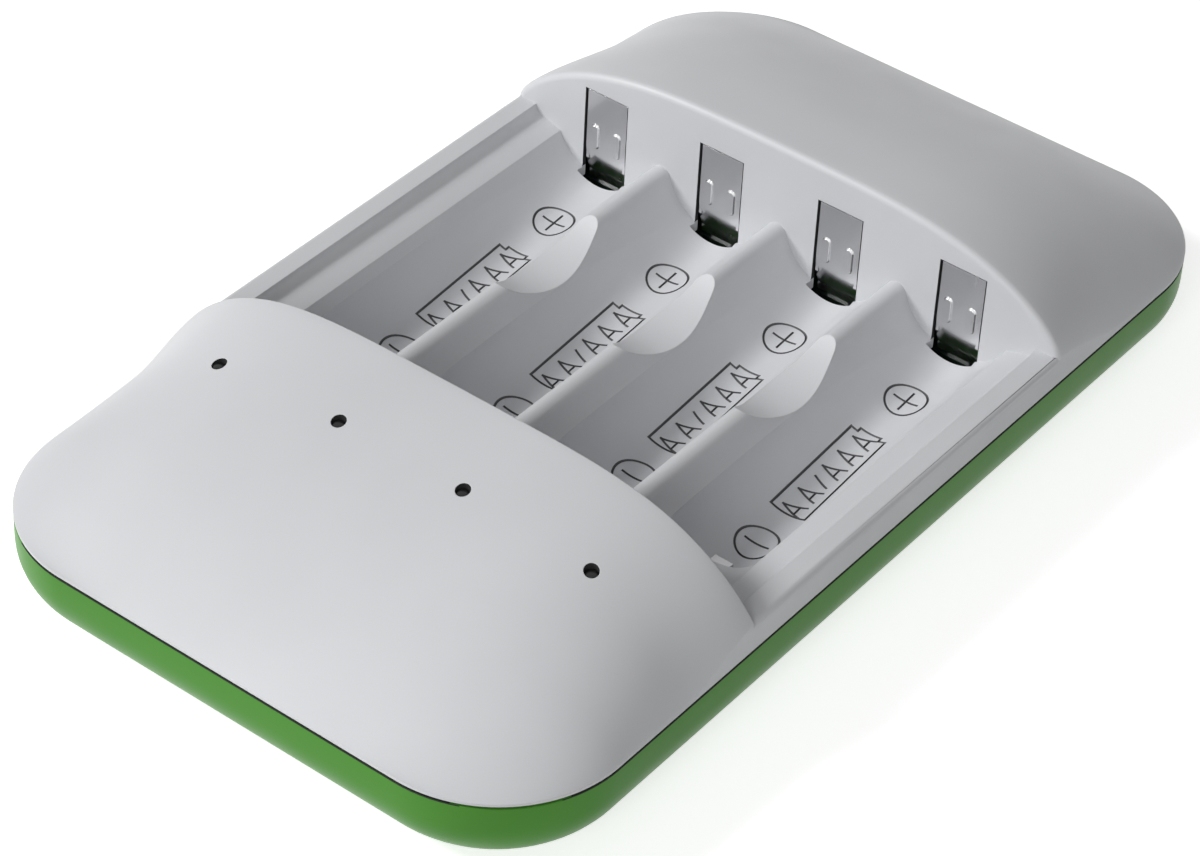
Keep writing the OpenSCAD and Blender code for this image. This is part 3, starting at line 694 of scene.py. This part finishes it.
def bumped(tree, shader, height, strength, distance, edge_r=0.0):
    """Fine relief, over edges rounded by edge_r millimetres."""
    bump = add(tree, "ShaderNodeBump", Strength=strength, Distance=distance * MM)
    tree.links.new(height, bump.inputs["Height"])
    if edge_r:
        bevel = add(tree, "ShaderNodeBevel", samples=6, Radius=edge_r * MM)
        tree.links.new(bevel.outputs["Normal"], bump.inputs["Normal"])
    tree.links.new(bump.outputs["Normal"], shader.inputs["Normal"])


# Scales of noise: a slow drift in colour and in gloss, grain, drawn lines
PLASTIC_DRIFT, PLASTIC_GLOSS, PLASTIC_GRAIN = 45, 160, 4200
METAL_DRIFT, METAL_LINES = 120, 900


def plastic(name, colour, roughness, drift=0.03, grain=0.35, edge_r=0.0, specular=0.5):
    """Moulded plastic: a fine spark-eroded grain, with a slow drift in tone and gloss."""
    mat, tree, shader = material(name)
    slow = noise(tree, PLASTIC_DRIFT, 3)
    low = tuple(c * (1 - drift) for c in colour)
    high = tuple(min(c * (1 + drift), 1) for c in colour)
    tree.links.new(ramp(tree, slow, low, high), shader.inputs["Base Color"])
    gloss = noise(tree, PLASTIC_GLOSS, 2)
    tree.links.new(ramp(tree, gloss, roughness * 0.93, roughness * 1.07), shader.inputs["Roughness"])
    shader.inputs["Specular IOR Level"].default_value = specular
    bumped(tree, shader, noise(tree, PLASTIC_GRAIN, 2), grain, 0.02, edge_r)
    return mat


def metal(name, colour, roughness, lines, relief=0.15, edge_r=0.0):
    """Rolled or drawn metal: fine lines along one direction."""
    mat, tree, shader = material(name)
    shader.inputs["Metallic"].default_value = 1
    fine = noise(tree, METAL_LINES, 4, lines)
    low = tuple(c * 0.93 for c in colour)
    tree.links.new(ramp(tree, noise(tree, METAL_DRIFT, 3), low, colour), shader.inputs["Base Color"])
    tree.links.new(ramp(tree, fine, roughness * 0.8, roughness * 1.25), shader.inputs["Roughness"])
    bumped(tree, shader, fine, relief, 0.01, edge_r)
    return mat


# Colours are linear; the number after a colour is the roughness.
GREY = plastic("light_grey_plastic", (0.625, 0.632, 0.652), 0.46, edge_r=0.12)
# Dark grey painted into the engraved V grooves as shade, deeper than the shade the grooves give by
# themselves.
MARK_SHADE = plastic("painted_mark_shade", (0.10, 0.10, 0.105), 0.5, grain=0.2)
GREEN = plastic("leaf_green_plastic", (0.066, 0.250, 0.026), 0.36, edge_r=0.12, specular=0.16)
# Near-black green painted on the parting line's groove as its shadow.
SEAM_SHADOW = plastic("painted_seam_shadow", (0.004, 0.010, 0.003), 0.8, grain=0.1)
# Near-black painted on the windows' reveals and the light holes' walls as their shade.
OPENING_SHADE = plastic("painted_opening_shade", (0.012, 0.012, 0.013), 0.8, grain=0.1)
NICKEL = metal("nickel_strip", (0.80, 0.80, 0.81), 0.22, (1, 1, 0.08), edge_r=0.05)
TINNED = metal("tinned_strip", (0.40, 0.40, 0.41), 0.34, (1, 0.08, 1), edge_r=0.05)
SPRING = metal("spring_wire", (0.60, 0.60, 0.60), 0.25, (0.2, 1, 1))
STEEL = metal("drawn_steel", (0.62, 0.62, 0.63), 0.25, (1, 0.1, 1), edge_r=0.06)
SCREW = metal("blackened_steel", (0.10, 0.10, 0.11), 0.42, (1, 1, 1))
CAN = metal("can_aluminium", (0.78, 0.78, 0.79), 0.3, (1, 1, 0.1))
BOARD = plastic("solder_resist", (0.006, 0.013, 0.009), 0.35, grain=0.1)
BLACK = plastic("black_moulding", (0.012, 0.012, 0.012), 0.45)
FERRITE = plastic("ferrite", (0.06, 0.06, 0.065), 0.6, grain=0.6)
CABLE = plastic("grey_cable", (0.18, 0.18, 0.19), 0.5)
LED = plastic("led_body", (0.75, 0.75, 0.70), 0.25, grain=0.05)
GUIDE = plastic("smoke_guide", (0.010, 0.010, 0.011), 0.28, grain=0.03, specular=0.3)
RUBBER = plastic("dark_rubber", (0.03, 0.03, 0.03), 0.75, grain=0.8)


# Small pieces

def sheet(name, front, back):
    """A closed sheet between two grids of points of the same size."""
    rows, cols = front.shape[:2]
    count = rows * cols
    quads = grid_quads(rows, cols)
    faces = quads + [[k + count for k in quad[::-1]] for quad in quads]
    edge = grid_border(rows, cols)
    faces += [[a, b, b + count, a + count] for a, b in zip(edge, edge[1:] + edge[:1])]
    points = np.concatenate([front.reshape(-1, 3), back.reshape(-1, 3)])
    return face_outwards(mesh_object(name, points, faces))


def plus_contact(bay):
    """The strip in a window, bent back below, with two pressed ribs, two wings and a foot."""
    rib_x, rib_r, rib_h, flank = 1.6, 0.6, 0.25, 0.14
    rib_low, rib_high = AA_FLOOR + 4.4, AA_FLOOR + 6.8
    bend_z, bend, bend_power = AA_FLOOR + 4.6, 0.9, 2.2
    foot_half, foot_l, lap = 1.5, 3.2, 0.1
    wing_l, wing_low, wing_high = 1.6, AA_FLOOR + 2, WINDOW_TOP - 3.5
    half = WINDOW_W / 2 - PLATE_GAP
    x = np.linspace(-half, half, 90)
    z = np.linspace(MAIN_TOP + CONTACT_T, WINDOW_TOP - PLATE_GAP, 180)
    grid_x, grid_z = np.meshgrid(x, z)
    reach = np.hypot(abs(grid_x) - rib_x, np.maximum(0, np.maximum(rib_low - grid_z, grid_z - rib_high)))
    raised = rib_h * ease(np.clip((rib_r - reach) / flank, 0, 1))
    raised -= bend * np.clip((bend_z - grid_z) / (bend_z - AA_FLOOR), 0, 1) ** bend_power
    front = np.dstack([bay + grid_x, PLATE_Y - raised, grid_z])
    back = np.dstack([bay + grid_x, PLATE_Y + CONTACT_T - raised, grid_z])
    plate = sheet("plate", front, back)
    foot_rows = (PLATE_Y + bend + lap, PLATE_Y + CONTACT_T + foot_l)
    adds = [box((bay - foot_half, bay + foot_half), foot_rows, (MAIN_TOP, MAIN_TOP + CONTACT_T + lap))]
    for side in (-1, 1):
        edge = sorted((bay + side * (half - CONTACT_T), bay + side * (half - 0.01)))
        adds.append(box(edge, (PLATE_Y + lap, WALL_Y + PANEL_T + wing_l), (wing_low, wing_high)))
    return boolean(plate, adds, "UNION")


def coil_spring(bay):
    """The coil behind a minus contact, its end turns closed up."""
    turns, turn_steps, sides, end_turns, gap = 5, 28, 10, 0.75, 0.05
    start, end = MINUS_Y - CONTACT_T - WIRE_R - gap, LIP_Y + WIRE_R + gap
    share = np.linspace(0, 1, turns * turn_steps + 1)
    climb = np.clip((share * turns - end_turns) / (turns - 2 * end_turns), 0, 1)
    end_lean = 0.4 * WIRE_R
    y = start + (end - start) * climb - (share - 0.5) * end_lean
    turn = share * turns * 2 * math.pi
    rings = []
    for a, py in zip(turn, y):
        ring = []
        for b in full_turn(sides):
            r = COIL_R + WIRE_R * math.cos(b)
            ring.append((bay + r * math.cos(a), py + WIRE_R * math.sin(b), COIL_Z + r * math.sin(a)))
        rings.append(ring)
    return loft("coil", rings)


def light_guide(bay, node):
    """The pin in a light's hole, with a domed top, on its thicker stem."""
    low = node_box(node)[0][2]
    stem_top, stem_r, edge, pin_r = 14.85, 1.5, 0.15, 0.82
    sunk, rise = 0.3, 0.25
    form = hood_form(0, False)
    skin = hood_row(form, LIP_Y - LED_Y, np.array([bay / form["half"]]))[1][0]
    levels = [(low, stem_r - edge), (low + edge, stem_r), (stem_top - edge, stem_r),
              (stem_top, stem_r - edge), (stem_top, pin_r)]
    dome = [(skin - sunk - rise + rise * math.sin(a), pin_r * math.cos(a)) for a in np.linspace(0, 1.45, 7)]
    return upright("guide", (bay, LED_Y), levels + dome)


# Pieces

top = smooth(top_shell())
dress(top, "housing", "top_plastic", GREY, MARK_SHADE, OPENING_SHADE)
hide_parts("top_shell")

bottom = smooth(bottom_shell())
dress(bottom, "housing", "bottom_plastic", GREEN, SEAM_SHADOW)
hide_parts("bottom_shell")

# Nodes that keep the shape of the solids, and what each is made of
CARRIED = {
    "main_board": BOARD, "front_board": BOARD, "link_cable": CABLE, "usb_shell": STEEL,
    "usb_tongue": BLACK, "charge_chip": BLACK, "power_inductor": FERRITE, "capacitors": CAN,
    "transistors": BLACK, "screws": SCREW, "feet": RUBBER}
for i, bay in enumerate(BAYS, 1):
    CARRIED[f"minus_contact_{i}"] = TINNED
    CARRIED[f"led_{i}"] = LED
    plate = smooth(plus_contact(bay))
    plate.name = f"plus_strip_{i}"
    dress(plate, "housing", "nickel", NICKEL)
    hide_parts(f"plus_contact_{i}")
    coil = smooth(coil_spring(bay), 60)
    coil.name = f"coil_{i}"
    dress(coil, "housing", "spring_steel", SPRING)
    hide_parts(f"minus_spring_{i}")
    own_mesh(coil)
    pin = smooth(light_guide(bay, f"light_guide_{i}"))
    pin.name = f"light_pin_{i}"
    dress(pin, "housing", "light_guide", GUIDE)
    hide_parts(f"light_guide_{i}")
for node, mat in CARRIED.items():
    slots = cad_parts[node].data.materials
    for k in range(len(slots)):
        slots[k] = mat

# Studio

FLOOR_HALF = 3000
FLOOR_GLOW = 0.68
SKY_LEVEL = 0.2
BACKGROUND_LEVEL = 1.0
floor = mesh_object("floor", [(sx * FLOOR_HALF, sy * FLOOR_HALF, 0)
                              for sx, sy in ((-1, -1), (1, -1), (1, 1), (-1, 1))], [[0, 1, 2, 3]])


def seen(tree):
    """1 for the rays that show the background to the eye, in metal or through glass."""
    path = add(tree, "ShaderNodeLightPath")
    total = path.outputs["Is Camera Ray"]
    for name in ("Is Glossy Ray", "Is Transmission Ray"):
        both = add(tree, "ShaderNodeMath", operation="MAXIMUM")
        tree.links.new(total, both.inputs[0])
        tree.links.new(path.outputs[name], both.inputs[1])
        total = both.outputs[0]
    return total


pale, tree, shader = material("pale_floor")
shader.inputs["Base Color"].default_value = (0.86, 0.86, 0.86, 1)
shader.inputs["Roughness"].default_value = 0.9
shader.inputs["Emission Color"].default_value = (1, 1, 1, 1)
lift = add(tree, "ShaderNodeMath", operation="MULTIPLY")
lift.inputs[1].default_value = FLOOR_GLOW
tree.links.new(seen(tree), lift.inputs[0])
tree.links.new(lift.outputs[0], shader.inputs["Emission Strength"])
floor.data.materials.append(pale)

world = bpy.data.worlds.new("studio")
bpy.context.scene.world = world
world.use_nodes = True
tree = world.node_tree
sky = tree.nodes["Background"]
sky.inputs["Color"].default_value = (1, 1, 1, 1)
level = add(tree, "ShaderNodeMapRange")
level.inputs["To Min"].default_value = SKY_LEVEL
level.inputs["To Max"].default_value = BACKGROUND_LEVEL
tree.links.new(seen(tree), level.inputs["Value"])
tree.links.new(level.outputs["Result"], sky.inputs["Strength"])


def lamp(name, place, size, watts):
    """A square soft box aimed at the part."""
    data = bpy.data.lights.new(name, "AREA")
    data.size = size
    data.energy = watts
    obj = bpy.data.objects.new(name, data)
    obj.location = place
    obj.rotation_euler = (-Vector(place)).to_track_quat("-Z", "Y").to_euler()
    bpy.context.collection.objects.link(obj)


lamp("key", (-0.84, -0.68, 0.86), size=0.36, watts=12.6)
lamp("front", (0.38, -1.12, 0.68), size=0.5, watts=4.8)

# The camera stands where the photograph was taken from.
PHOTO_W = 1200
FOCAL_PX = 3951.67
SENSOR_W = 36
camera = bpy.data.objects.new("camera", bpy.data.cameras.new("camera"))
camera.data.sensor_width = SENSOR_W
camera.data.lens = FOCAL_PX / PHOTO_W * SENSOR_W
camera.data.clip_start = 0.01
camera.location = (0.20248, -0.28134, 0.28911)
camera.rotation_euler = [math.radians(a) for a in (50.1794, -2.3220, 38.1303)]
bpy.context.collection.objects.link(camera)
bpy.context.scene.camera = camera
bpy.context.scene.view_settings.view_transform = "Standard"
